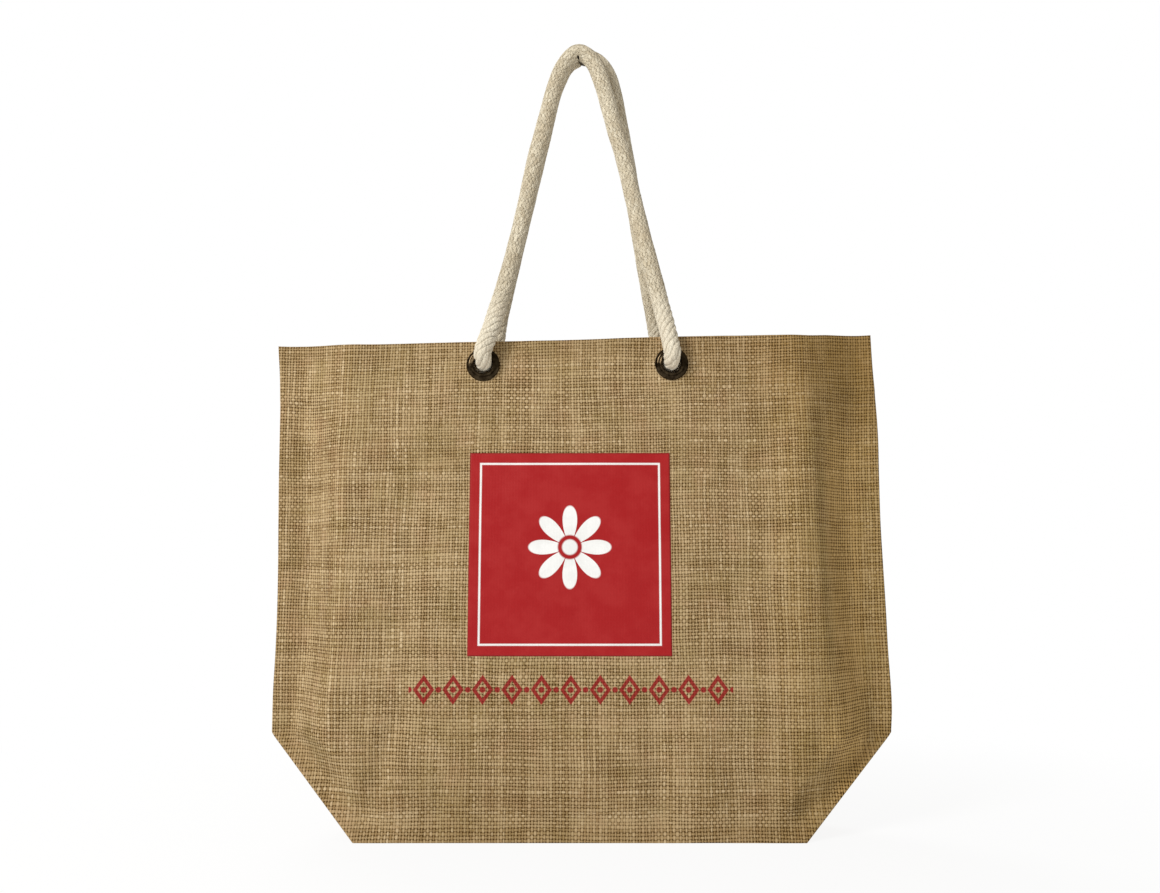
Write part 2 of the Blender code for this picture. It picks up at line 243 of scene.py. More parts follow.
def edge_x(z, side):
    corner = BASE_LEFT if side == 1 else BASE_RIGHT
    slant = corner + (SIDE_SEAMS[0][side] - corner) * z / SLANT_TOP
    return np.where(z < SLANT_TOP, slant, column(SIDE_SEAMS, z, side))


def cloth_at(z, x):
    start = column(RIM, x, 1) - HEM_DEPTH
    return CLOTH + (HEM_CLOTH - CLOTH) * ease((z - start) / 0.006)


def fold_height(folds, x, z):
    out = np.zeros(np.broadcast(x, z).shape)
    for x0, z0, x1, z1, half_width, height in folds:
        dx, dz = x1 - x0, z1 - z0
        length = math.hypot(dx, dz)
        along = ((x - x0) * dx + (z - z0) * dz) / length
        across = ((x - x0) * dz - (z - z0) * dx) / length
        past = np.maximum(0.0, np.maximum(-along, along - length)) / (1.6 * half_width)
        out = out + height * np.exp(-((across / half_width) ** 2) - past**2)
    return out


def depth(x, z, folds):
    x, z = np.asarray(x, float), np.asarray(z, float)
    half, margin, bend = (column(SECTIONS, z, k) for k in (1, 2, 3))
    seam = cloth_at(z, x) + GAP / 2
    from_edge = np.minimum(x - edge_x(z, 1), edge_x(z, 2) - x)
    at_edge = np.maximum(0.0, 1 - z / SLANT_TOP)
    full = at_edge + (1 - at_edge) * ease((from_edge - margin) / bend)
    inside = ease((from_edge - 0.3 * margin) / (0.6 * bend)) * np.minimum(1.0, z / 0.02)
    return seam + (half - seam) * full + fold_height(folds, x, z) * inside


def smooth_noise(x, z, size, seed):
    """Even, soft noise from -1 to 1, with dents about this size."""
    turn = np.random.RandomState(seed)
    out = np.zeros(np.broadcast(x, z).shape)
    for _ in range(10):
        angle, shift, scale = turn.uniform(0, TAU), turn.uniform(0, TAU), turn.uniform(0.7, 1.5)
        wave = TAU / (2 * size) * scale
        out = out + np.sin(wave * (x * math.cos(angle) + z * math.sin(angle)) + shift)
    return out / 4.0


# Shallow folds past those of the solid, in the same columns
FINE_FRONT = (
    (0.150, 0.060, 0.153, 0.275, 0.010, 0.0019),
    (0.175, 0.075, 0.177, 0.252, 0.010, -0.0027),
    (0.135, 0.347, 0.206, 0.347, 0.030, 0.0012),
    (-0.120, 0.236, -0.020, 0.262, 0.007, 0.0004),
    (0.085, 0.150, 0.125, 0.292, 0.011, -0.0007),
    (-0.168, 0.235, -0.150, 0.300, 0.009, -0.0007),
    (0.000, 0.020, 0.010, 0.056, 0.012, 0.0006),
    (-0.115, 0.000, 0.110, 0.000, 0.026, -0.0026),
)
FINE_BACK = (
    (-0.150, 0.070, -0.152, 0.262, 0.010, 0.0014),
    (0.160, 0.120, 0.166, 0.250, 0.011, -0.0018),
    (-0.070, 0.235, 0.050, 0.250, 0.008, 0.0005),
    (-0.030, 0.030, -0.022, 0.100, 0.012, -0.0008),
    (0.075, 0.200, 0.100, 0.290, 0.010, 0.0008),
)


def crumple(x, z, facing):
    """Small dents of handled cloth, past the folds that the solid has."""
    seed = 11 if facing < 0 else 57
    soft = 0.00034 * smooth_noise(x, z, 0.045, seed) + 0.00016 * smooth_noise(x, z, 0.018, seed + 1)
    fine = fold_height(FINE_FRONT if facing < 0 else FINE_BACK, x, z)
    for _, ex, ez, _, _ in EYELETS:
        fine = fine * ease((np.hypot(x - ex, z - ez) - 0.013) / 0.014)
    soft = soft + fine
    # the hem's stitching draws the cloth in
    line = column(RIM, x, 1) - HEM_DEPTH + 0.0005
    drawn = -0.00035 * np.exp(-(((z - line) / 0.0022) ** 2))
    inside = ease((np.minimum(x - edge_x(z, 1), edge_x(z, 2) - x) - 0.004) / 0.02)
    return (soft + drawn) * inside * np.minimum(1.0, z / 0.012)


def outer(x, z, folds, facing):
    return depth(x, z, folds) + crumple(x, z, facing)


# ---------------------------------------------------------------- making meshes
def link(name, mesh, material):
    mesh.materials.append(material)
    made = bpy.data.objects.new(name, mesh)
    bpy.context.scene.collection.objects.link(made)
    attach(made, "root")
    return made


def mesh_of(name, points, quads, uvs=None, uv_name="weave"):
    """Smooth mesh of four-sided faces; uvs gives one pair for each point, or for each corner."""
    points, quads = np.asarray(points, np.float32), np.asarray(quads, np.int32)
    mesh = bpy.data.meshes.new(name)
    mesh.vertices.add(len(points))
    mesh.vertices.foreach_set("co", points.ravel())
    mesh.loops.add(quads.size)
    mesh.loops.foreach_set("vertex_index", quads.ravel())
    mesh.polygons.add(len(quads))
    mesh.polygons.foreach_set("loop_start", np.arange(0, quads.size, 4, dtype=np.int32))
    if uvs is not None:
        layer = mesh.uv_layers.new(name=uv_name)
        uvs = np.asarray(uvs, np.float32)
        corners = uvs if len(uvs) == quads.size else uvs[quads.ravel()]
        layer.data.foreach_set("uv", corners.ravel())
    mesh.update(calc_edges=True)
    mesh.validate()
    mesh.shade_smooth()
    return mesh


def grid_quads(rows, columns, offset=0, flip=False):
    a = np.arange(rows * columns).reshape(rows, columns) + offset
    quads = np.stack([a[:-1, :-1], a[:-1, 1:], a[1:, 1:], a[1:, :-1]], -1).reshape(-1, 4)
    return quads[:, ::-1] if flip else quads


def weft_number(z):
    """Number of level threads below a height."""
    heights = np.linspace(0, 0.36, 721)
    spacing = column(WEFT, heights, 1)
    count = np.concatenate([[0], np.cumsum(0.5 * (1 / spacing[1:] + 1 / spacing[:-1]) * np.diff(heights))])
    return np.interp(z, heights, count)


def normals_of(points):
    """Normals of a grid of points, from its rows and columns."""
    across = np.gradient(points, axis=1)
    up = np.gradient(points, axis=0)
    normal = np.cross(across, up)
    return normal / np.linalg.norm(normal, axis=2, keepdims=True)


def closed_sheet(name, face, back, keep, weave, facing):
    """Two grids of points, joined round every border of the kept cells into one closed body."""
    rows, columns = face.shape[:2]
    count = rows * columns
    points = np.concatenate([face.reshape(-1, 3), back.reshape(-1, 3)])
    cells = grid_quads(rows, columns)
    kept = cells[keep.ravel()]
    front, rear = kept, kept[:, ::-1] + count
    # borders: edges used by one kept cell only
    edges = np.concatenate([kept[:, [k, (k + 1) % 4]] for k in range(4)])
    keys = np.sort(edges, 1)
    _, index, number = np.unique(keys[:, 0].astype(np.int64) * count + keys[:, 1], return_index=True, return_counts=True)
    border = edges[index[number == 1]]
    sides = np.stack([border[:, 1], border[:, 0], border[:, 0] + count, border[:, 1] + count], 1)
    quads = np.concatenate([front, rear, sides])
    if facing > 0:
        quads = quads[:, ::-1]
    used, fresh = np.unique(quads, return_inverse=True)
    quads = fresh.reshape(quads.shape)
    uv = np.concatenate([weave.reshape(-1, 2), weave.reshape(-1, 2)])
    return mesh_of(name, points[used], quads, uv[used])


def spread_places(fine, spacing, length):
    """Places from 0 to length: fine ones at both ends, and even ones between."""
    start, end = fine[-1], length - fine[-1]
    count = max(2, int(round((end - start) / spacing)))
    middle = np.linspace(start, end, count + 1)
    return np.concatenate([fine[:-1], middle, length - np.array(fine[:-1])[::-1]])


def add_panel(name, folds, facing, spacing, material):
    """One burlap panel: its outer face, its inner face, rounded edges and two eyelet holes."""
    edge_fine = np.array([0.0, 0.00012, 0.0004, 0.0008, 0.0013, 0.0019])
    u = spread_places(edge_fine, spacing, 0.4260) / 0.4260
    rows = spread_places(edge_fine, spacing * 1.02, RIM_HEIGHT - PANEL_FOOT) / (RIM_HEIGHT - PANEL_FOOT)
    v, u = np.meshgrid(rows, u, indexing="ij")
    z0 = PANEL_FOOT + (RIM_HEIGHT - PANEL_FOOT) * v
    left, right = edge_x(z0, 1), edge_x(z0, 2)
    x = left + (right - left) * u
    z = z0 + (column(RIM, x, 1) - RIM_HEIGHT) * v**3
    out = outer(x, z, folds, facing)

    # at the seams the panels meet
    at_seam = 1 - ease(np.minimum(x - left, right - x) / 0.006)
    out = out - (GAP / 2 - 0.00001) * at_seam

    # threads are counted along the cloth, from the middle; the cloth's give in the bends keeps them upright
    face = np.stack([x, facing * out, z], 2)
    step = np.hypot(np.diff(x, axis=1), 0.3 * np.diff(out, axis=1))
    across = np.concatenate([np.zeros((len(x), 1)), np.cumsum(step, 1)], 1)
    middle = np.array([np.interp(0.0, x[i], across[i]) for i in range(len(x))])
    weave = np.stack([(across - middle[:, None]) / WARP, weft_number(z0)], 2)

    normal = normals_of(face) * -facing
    normal = np.where((normal[..., 1] * facing < 0)[..., None], -normal, normal)
    thick = cloth_at(z, x)
    inner = face - normal * thick[..., None]
    # the inner face stays on its own side of the seams' plane
    inner[..., 1] = facing * np.maximum(facing * inner[..., 1], 0.00001)

    # rounded edges: the outer face turns in at the seams and the foot, both faces turn in at the rim
    slant = np.hypot(SIDE_SEAMS[0][1] - BASE_LEFT, SLANT_TOP)
    lean = np.where(z0 < SLANT_TOP, SLANT_TOP / slant, 1.0)
    from_side = np.minimum(x - left, right - x) * lean
    from_foot = z0 - PANEL_FOOT
    from_rim = RIM_HEIGHT - z0

    def turned(distance, radius):
        t = np.clip(distance / radius, 0, 1)
        return 1 - np.sqrt(np.maximum(0, 1 - (1 - t) ** 2))

    drop = np.maximum(turned(from_side, 0.0017), turned(from_foot, 0.0015)) * 0.88
    rim = turned(from_rim, 0.0016) * 0.47
    total = np.clip(np.maximum(drop, rim), 0, 0.93)
    face = face - normal * (thick * total)[..., None]
    inner = inner + normal * (thick * rim)[..., None]

    # holes for the eyelets
    cells = np.ones((len(x) - 1, x.shape[1] - 1), bool)
    cx = (x[:-1, :-1] + x[1:, 1:]) / 2
    cz = (z[:-1, :-1] + z[1:, 1:]) / 2
    for _, ex, ez, _, _ in EYELETS:
        cells &= np.hypot(cx - ex, cz - ez) > 0.0082
    mesh = closed_sheet(name, face, inner, cells, weave, facing)
    made = link(name, mesh, material)
    return made


def add_base(material):
    """Base strip: level on the floor, with two pointed ends rising between the panels."""
    across = np.linspace(-1, 1, 43)
    last = 0.985
    rising = np.linspace(0, last, 41)
    line = []
    for side, corner in ((1, BASE_LEFT), (2, BASE_RIGHT)):
        tip = SIDE_SEAMS[0][side]
        line.append([(corner + (tip - corner) * t, SLANT_TOP * t) for t in rising])
    middle = [(BASE_LEFT + (BASE_RIGHT - BASE_LEFT) * i / 150, 0.0) for i in range(1, 150)]
    line = np.array(line[0][::-1] + middle + line[1])
    x, z = line[:, 0], line[:, 1]
    toward = np.where(x < 0, CLOTH, -CLOTH)
    half = np.minimum(depth(x, z, ()), depth(x + toward, z + CLOTH, ())) - CLOTH - 1.2 * GAP
    half = np.maximum(half, 0.0004)
    step = np.hypot(np.diff(x), np.diff(z))
    length = np.concatenate([[0], np.cumsum(step)])
    length -= np.interp(0.0, x, length)
    # the strip's two faces, the upper one a cloth's thickness above the lower
    face = np.stack(
        [
            np.repeat(x[:, None], len(across), 1),
            half[:, None] * across[None, :],
            np.repeat(z[:, None], len(across), 1),
        ],
        2,
    )
    tangent = np.gradient(face[:, 0], axis=0)
    normal = np.stack([-tangent[:, 2], np.zeros(len(x)), tangent[:, 0]], 1)
    normal /= np.linalg.norm(normal, axis=1, keepdims=True)
    top = face + (normal * CLOTH)[:, None, :]
    weave = np.stack([np.repeat((length / WARP)[:, None], len(across), 1), face[..., 1] / 0.00208 + 0.5], 2)
    keep = np.ones((len(x) - 1, len(across) - 1), bool)
    mesh = closed_sheet("base_cloth", face, top, keep, weave, -1)
    return link("base_cloth", mesh, material)


# ---------------------------------------------------------------- ropes
def smooth_line(rows, parts):
    """Rows of numbers on a smooth curve through the given ones."""
    rows = np.array(rows, float)
    rows = np.vstack([rows[0], rows, rows[-1]])
    t = np.arange(parts)[:, None] / parts
    made = []
    for a, b, c, d in zip(rows, rows[1:], rows[2:], rows[3:]):
        made.append(
            0.5 * (2 * b + (c - a) * t + (2 * a - 5 * b + 4 * c - d) * t**2 + (3 * b - a - 3 * c + d) * t**3)
        )
    return np.vstack(made + [rows[-1:]])


def even_line(rows, count):
    """The same line with evenly spaced points."""
    step = np.linalg.norm(np.diff(rows[:, :3], axis=0), axis=1)
    at = np.concatenate([[0], np.cumsum(step)])
    wanted = np.linspace(0, at[-1], count)
    return np.stack([np.interp(wanted, at, rows[:, k]) for k in range(rows.shape[1])], 1), at[-1]


def handle_line(route, folds, facing):
    ends = []
    for _, x, z, right, lift in EYELETS:
        out = float(depth(x, z, folds))
        ends.append([(x + right, facing * (out + a), z + lift + up, share) for a, up, share in LEAD])
    middle = [(x, facing * out, z, 1.0) for x, out, z in route]
    return smooth_line(ends[0] + middle + ends[1][::-1], 10)


def braid_height(around, along, strands=STRANDS):
    """Relief of a braid from 0 to 1; around and along are counted in turns of the rope and of a strand."""
    a, b = strands * (around + along), strands * (around - along)
    a = a + 0.20 * np.sin(TAU * (around + 9.3 * along)) + 0.13 * np.sin(TAU * (3 * around - 21.0 * along) + 1.7)
    b = b + 0.20 * np.sin(TAU * (around - 7.1 * along) + 0.8) + 0.13 * np.sin(TAU * (2 * around + 25.0 * along) + 4.0)
    i, j = np.floor(a), np.floor(b)
    fa, fb = a - i - 0.5, b - j - 0.5
    over = np.cos(np.pi * (b - 0.5) + np.pi * i)
    high = 0.55 * np.sqrt(np.maximum(0, 1 - (1.9 * fa) ** 2)) + 0.45 * over
    low = 0.55 * np.sqrt(np.maximum(0, 1 - (1.9 * fb) ** 2)) - 0.45 * np.cos(np.pi * (a - 0.5) + np.pi * j)
    return np.maximum(high, low)


def tube(name, line, radius, around, turns_per_m, start_turn=0.0, round_ends=True, crease=None):
    """Braided tube along a line of (x, y, z, share of the radius)."""
    centre = line[:, :3]
    tangent = np.gradient(centre, axis=0)
    tangent /= np.linalg.norm(tangent, axis=1, keepdims=True)
    side = np.zeros_like(centre)
    ref = np.cross(tangent[0], (0.0, 0.0, 1.0))
    if np.linalg.norm(ref) < 0.2:
        ref = np.cross(tangent[0], (1.0, 0.0, 0.0))
    side[0] = ref / np.linalg.norm(ref)
    for i in range(1, len(centre)):
        kept = side[i - 1] - tangent[i] * np.dot(side[i - 1], tangent[i])
        side[i] = kept / np.linalg.norm(kept)
    other = np.cross(tangent, side)
    step = np.linalg.norm(np.diff(centre, axis=0), axis=1)
    length = np.concatenate([[0], np.cumsum(step)])
    angle = np.arange(around) / around
    turn, run = np.meshgrid(angle, length * turns_per_m + start_turn)
    relief = braid_height(turn, run)
    share = line[:, 3].copy()
    if round_ends:
        for at in (length, length[-1] - length):
            t = np.clip(at / (0.7 * radius), 0, 1)
            share *= 0.35 + 0.65 * np.sqrt(1 - (1 - t) ** 2)
    uneven = 1 + 0.012 * np.sin(length[:, None] * 260 + 1.0) + 0.02 * np.sin(TAU * turn * 2 + length[:, None] * 47)
    r = radius * share[:, None] * (0.935 + 0.075 * relief) * uneven
    if round_ends:
        # by its holes the rope's strands part and stand out, slanting to the right
        by_hole = 1 - ease((centre[:, 2] - 0.340) / 0.040)[:, None]
        strand = np.abs(np.cos(np.pi * (6 * turn - 12 * run + 0.10 * np.sin(TAU * (turn + 5 * run)))))
        r = r * (1 + by_hole * (0.17 * np.sqrt(strand) - 0.125))
    if crease is not None:
        # the rope folds in sharply on the inner side of its bend
        where, towards, deep, wide = crease
        ray = side[:, None, :] * np.cos(TAU * turn)[..., None] + other[:, None, :] * np.sin(TAU * turn)[..., None]
        near = length[np.argmin(np.linalg.norm(centre - np.array(where), axis=1))]
        facing_it = np.clip(ray @ (np.array(towards) / np.linalg.norm(towards)), 0, 1)
        bent = (length[:, None] - near) - 0.0087 * (facing_it - 0.80)
        narrow = wide * (0.6 + 0.4 * ease((facing_it - 0.6) / 0.3))
        sunk = np.exp(-((bent / narrow) ** 2)) * ease((facing_it - 0.46) / 0.18)
        r = r * (1 - deep * sunk)
    ring = (
        centre[:, None, :]
        + side[:, None, :] * (np.cos(TAU * turn) * r)[..., None]
        + other[:, None, :] * (np.sin(TAU * turn) * r)[..., None]
    )
    count = len(centre)
    points = np.concatenate([ring.reshape(-1, 3), centre[:1], centre[-1:]])
    a = np.arange(count * around).reshape(count, around)
    b = np.roll(a, -1, 1)
    quads = np.stack([a[:-1], b[:-1], b[1:], a[1:]], -1).reshape(-1, 4)
    turn_next = turn + 1.0 / around
    low, high = run[:-1], run[1:]
    if crease is not None:
        # whole turns more in the crease let the material paint shadow into it
        mark = (sunk[:-1] + sunk[1:]) / 2
        crease_shadow_turns = np.where(mark > 0.33, 100.0, np.where(mark > 0.12, 200.0, 0.0))
        low, high = low + crease_shadow_turns, high + crease_shadow_turns
    uv = np.stack(
        [
            np.stack([turn[:-1], low], -1),
            np.stack([turn_next[:-1], low], -1),
            np.stack([turn_next[1:], high], -1),
            np.stack([turn[1:], high], -1),
        ],
        2,
    ).reshape(-1, 2)
    # end caps as fans of thin quads over pairs of edges
    caps, cap_uv = [], []
    first, last = count * around, count * around + 1
    for i in range(0, around, 2):
        j, k = (i + 1) % around, (i + 2) % around
        caps.append((first, a[0, k], a[0, j], a[0, i]))
        caps.append((last, a[-1, i], a[-1, j], a[-1, k]))
        cap_uv += [(angle[i], run[0, 0])] * 4 + [(angle[i], run[-1, 0])] * 4
    quads = np.concatenate([quads, np.array(caps)])
    uv = np.concatenate([uv, np.array(cap_uv)])
    mesh = mesh_of(name, points, quads, uv, "braid")
    return mesh, length[-1]


def add_handle(name, node, route, folds, facing, count, material):
    line, _ = even_line(handle_line(route, folds, facing), count)
    if facing < 0:
        crease = ((0.0003, -0.0062, 0.554), (0.0, 0.2, -0.98), 0.38, 0.0019)
    else:
        crease = ((0.0018, 0.0062, 0.5555), (0.0, 0.1, -0.99), 0.22, 0.0019)
    mesh, length = tube(name, line, ROPE_RADIUS, 60, 1 / STRAND_PITCH, 0.37 if facing < 0 else 0.11, crease=crease)
    made = link(name, mesh, material)
    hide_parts(node)
    return made, float(length)


def add_stopper(name, node, at, facing, turn, material):
    """Overhand knot in the rope's end, drawn tight, with a short tail below."""
    t = np.linspace(0, TAU, 260)
    c, s = math.cos(turn), math.sin(turn)
    px, pz = np.sin(t) + 2 * np.sin(2 * t), np.cos(t) - 2 * np.cos(2 * t)
    x, z = (px * c - pz * s) * 0.00385, (px * s + pz * c) * 0.00375
    y = -np.sin(3 * t) * 0.0062
    centre_y = at[1] + facing * (KNOT_OUT - KNOT_HALF[1])
    line = np.stack([at[0] + x, centre_y + y, at[2] + z, np.ones_like(t)], 1)
    mesh, _ = tube(name, even_line(line[4:-6], 240)[0], 0.00475, 28, 1 / STRAND_PITCH * 1.15)
    made = link(name, mesh, material)
    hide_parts(node)
    return made


# ---------------------------------------------------------------- eyelets
def eyelet_profile():
    """(radius, out) round the section of a rolled eyelet and its washer, on smooth arcs."""
    points = []
    # rolled flange: from the hole's lip over the crown and down to the cloth
    for r, out in (
        (EYELET_HOLE + 0.00005, -0.0004),
        (EYELET_HOLE, 0.0006),
        (0.00625, 0.0014),
        (0.0065, 0.0022),
        (0.0069, 0.0027),
        (0.00735, 0.00282),
        (0.0078, 0.00266),
        (0.0082, 0.00242),
        (0.0086, 0.00232),
        (0.0092, 0.00226),
        (0.0099, 0.00204),
        (0.0106, 0.00152),
        (0.0112, 0.00085),
        (0.01148, 0.00045),
        (0.01135, 0.0001),
        (0.0108, 0.0),
        (0.0080, 0.0),
    ):
        points.append((r, out))
    back = -HEM_CLOTH - GAP
    for r, out in (
        (0.0072, -0.0003),
        (0.0072, back),
        (0.0099, back + 0.0001),
        (0.01035, back - 0.0001),
        (0.0104, back - 0.0004),
        (0.0101, back - 0.0008),
        (0.0092, back - 0.0011),
        (0.0080, back - 0.00135),
        (0.0071, back - 0.0014),
        (0.0065, back - 0.0011),
        (0.00625, back - 0.0006),
        (EYELET_HOLE + 0.00005, back + 0.0004),
    ):
        points.append((r, out))
    return points


def add_ring(name, node, x, z, folds, facing, material):
    """Eyelet turned about the panel's own outward direction."""
    step = 0.012
    rise = float(depth(x, z + step, folds) - depth(x, z - step, folds))
    axis = Vector((0, facing, -rise / (2 * step))).normalized()
    turn = Vector((0, 0, 1)).rotation_difference(axis).to_matrix()
    at = Vector((x, facing * float(depth(x, z, folds)), z))
    ring = eyelet_profile()
    fine = []
    for k in range(len(ring)):
        a, b, c, d = (np.array(ring[(k + m - 1) % len(ring)]) for m in range(4))
        for t in (0.0, 0.5):
            fine.append(0.5 * (2 * b + (c - a) * t + (2 * a - 5 * b + 4 * c - d) * t * t + (3 * b - a - 3 * c + d) * t**3))
    fine = np.array(fine)
    steps = 96
    angle = np.arange(steps) * TAU / steps
    shape = np.stack(
        [
            fine[None, :, 0] * np.cos(angle)[:, None],
            fine[None, :, 0] * np.sin(angle)[:, None],
            np.repeat(fine[None, :, 1], steps, 0),
        ],
        2,
    )
    points = shape.reshape(-1, 3) @ np.array(turn).T + np.array(at)
    a = np.arange(steps * len(fine)).reshape(steps, len(fine))
    b, c = np.roll(a, -1, 0), np.roll(a, -1, 1)
    d = np.roll(b, -1, 1)
    quads = np.stack([a, c, d, b], -1).reshape(-1, 4)
    mesh = mesh_of(name, points, quads)
    made = link(name, mesh, material)
    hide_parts(node)
    return made


def add_film(material):
    """Smooth film over the burlap: it follows the panel's dents and shows the threads under it a little."""
    count = 150
    x, z = np.meshgrid(np.linspace(*FILM_X, count), np.linspace(*FILM_Z, count))
    base = depth(x, z, FRONT_FOLDS) + crumple(x, z, -1)
    face = np.stack([x, -(base + 0.0005), z], 2)
    border = np.minimum.reduce([x - FILM_X[0], FILM_X[1] - x, z - FILM_Z[0], FILM_Z[1] - z])
    face[..., 1] += 0.00028 * (1 - ease(border / 0.0009))
    back = face.copy()
    back[..., 1] = -(base + 0.00015)
    uv = np.stack([(x - FILM_X[0]) / (FILM_X[1] - FILM_X[0]), (z - FILM_Z[0]) / (FILM_Z[1] - FILM_Z[0])], 2)
    mesh = closed_sheet("film", face, back, np.ones((count - 1, count - 1), bool), uv, -1)
    made = link("film", mesh, material)
    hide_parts("print_film")
    return made


# ---------------------------------------------------------------- materials
class Value:
    """A number or a vector in a material's nodes, which takes arithmetic."""

    def __init__(self, tree, socket):
        self.tree, self.socket = tree, socket

    def _op(self, kind, *others, clamp=False):
        node = self.tree.nodes.new("ShaderNodeMath")
        node.operation = kind
        node.use_clamp = clamp
        for i, item in enumerate((self, *others)):
            if isinstance(item, Value):
                self.tree.links.new(item.socket, node.inputs[i])
            else:
                node.inputs[i].default_value = float(item)
        return Value(self.tree, node.outputs[0])

    def _swapped(self, kind, other):
        node = self.tree.nodes.new("ShaderNodeMath")
        node.operation = kind
        node.inputs[0].default_value = float(other)
        self.tree.links.new(self.socket, node.inputs[1])
        return Value(self.tree, node.outputs[0])

    def __add__(self, other):
        return self._op("ADD", other)

    __radd__ = __add__

    def __mul__(self, other):
        return self._op("MULTIPLY", other)

    __rmul__ = __mul__

    def __sub__(self, other):
        return self._op("SUBTRACT", other)

    def __rsub__(self, other):
        return self._swapped("SUBTRACT", other)

    def __truediv__(self, other):
        return self._op("DIVIDE", other)

    def floor(self):
        return self._op("FLOOR")

    def fract(self):
        return self._op("FRACT")

    def abs(self):
        return self._op("ABSOLUTE")

    def cos(self):
        return self._op("COSINE")

    def sin(self):
        return self._op("SINE")

    def sqrt(self):
        return self._op("SQRT")

    def power(self, other):
        return self._op("POWER", other)

    def max(self, other):
        return self._op("MAXIMUM", other)

    def min(self, other):
        return self._op("MINIMUM", other)

    def above(self, other):
        return self._op("GREATER_THAN", other)

    def step(self, low, high, to_low=0.0, to_high=1.0):
        node = self.tree.nodes.new("ShaderNodeMapRange")
        node.interpolation_type = "SMOOTHSTEP"
        self.tree.links.new(self.socket, node.inputs[0])
        for i, item in enumerate((low, high, to_low, to_high)):
            node.inputs[i + 1].default_value = item
        return Value(self.tree, node.outputs[0])

    def line(self, low, high, to_low=0.0, to_high=1.0):
        node = self.tree.nodes.new("ShaderNodeMapRange")
        self.tree.links.new(self.socket, node.inputs[0])
        for i, item in enumerate((low, high, to_low, to_high)):
            node.inputs[i + 1].default_value = item
        return Value(self.tree, node.outputs[0])


def combine(tree, x, y, z=0.0):
    node = tree.nodes.new("ShaderNodeCombineXYZ")
    for i, item in enumerate((x, y, z)):
        if isinstance(item, Value):
            tree.links.new(item.socket, node.inputs[i])
        else:
            node.inputs[i].default_value = item
    return Value(tree, node.outputs[0])


def separate(value):
    node = value.tree.nodes.new("ShaderNodeSeparateXYZ")
    value.tree.links.new(value.socket, node.inputs[0])
    return [Value(value.tree, node.outputs[i]) for i in range(3)]


def noise(vector, scale, detail=0.0, roughness=0.5, two=False):
    node = vector.tree.nodes.new("ShaderNodeTexNoise")
    node.noise_dimensions = "2D" if two else "3D"
    vector.tree.links.new(vector.socket, node.inputs["Vector"])
    node.inputs["Scale"].default_value = scale
    node.inputs["Detail"].default_value = detail
    node.inputs["Roughness"].default_value = roughness
    return Value(vector.tree, node.outputs[0])


def random_of(vector):
    node = vector.tree.nodes.new("ShaderNodeTexWhiteNoise")
    node.noise_dimensions = "3D"
    vector.tree.links.new(vector.socket, node.inputs["Vector"])
    return Value(vector.tree, node.outputs["Value"])


def mixed(factor, a, b, kind="MIX"):
    """Mixes two colours, each a tuple or a Value."""
    tree = factor.tree if isinstance(factor, Value) else (a.tree if isinstance(a, Value) else b.tree)
    node = tree.nodes.new("ShaderNodeMix")
    node.data_type = "RGBA"
    node.blend_type = kind
    if isinstance(factor, Value):
        tree.links.new(factor.socket, node.inputs[0])
    else:
        node.inputs[0].default_value = factor
    for i, item in ((6, a), (7, b)):
        if isinstance(item, Value):
            tree.links.new(item.socket, node.inputs[i])
        else:
            node.inputs[i].default_value = (*item, 1)
    return Value(tree, node.outputs[2])


def new_material(name):
    material = bpy.data.materials.new(name)
    material.use_nodes = True
    tree = material.node_tree
    shader = tree.nodes["Principled BSDF"]
    return material, tree, shader


def coordinates(tree, kind, uv_map=None):
    if kind == "UV":
        node = tree.nodes.new("ShaderNodeUVMap")
        node.uv_map = uv_map
        return Value(tree, node.outputs[0])
    node = tree.nodes.new("ShaderNodeTexCoord")
    return Value(tree, node.outputs[kind])


def bump(tree, height, distance, strength=1.0, onto=None):
    node = tree.nodes.new("ShaderNodeBump")
    node.inputs["Strength"].default_value = strength
    node.inputs["Distance"].default_value = distance
    tree.links.new(height.socket, node.inputs["Height"])
    if onto is not None:
        tree.links.new(onto, node.inputs["Normal"])
    return node.outputs[0]


def grey(value):
    """A number as a colour."""
    return combine(value.tree, value, value, value)


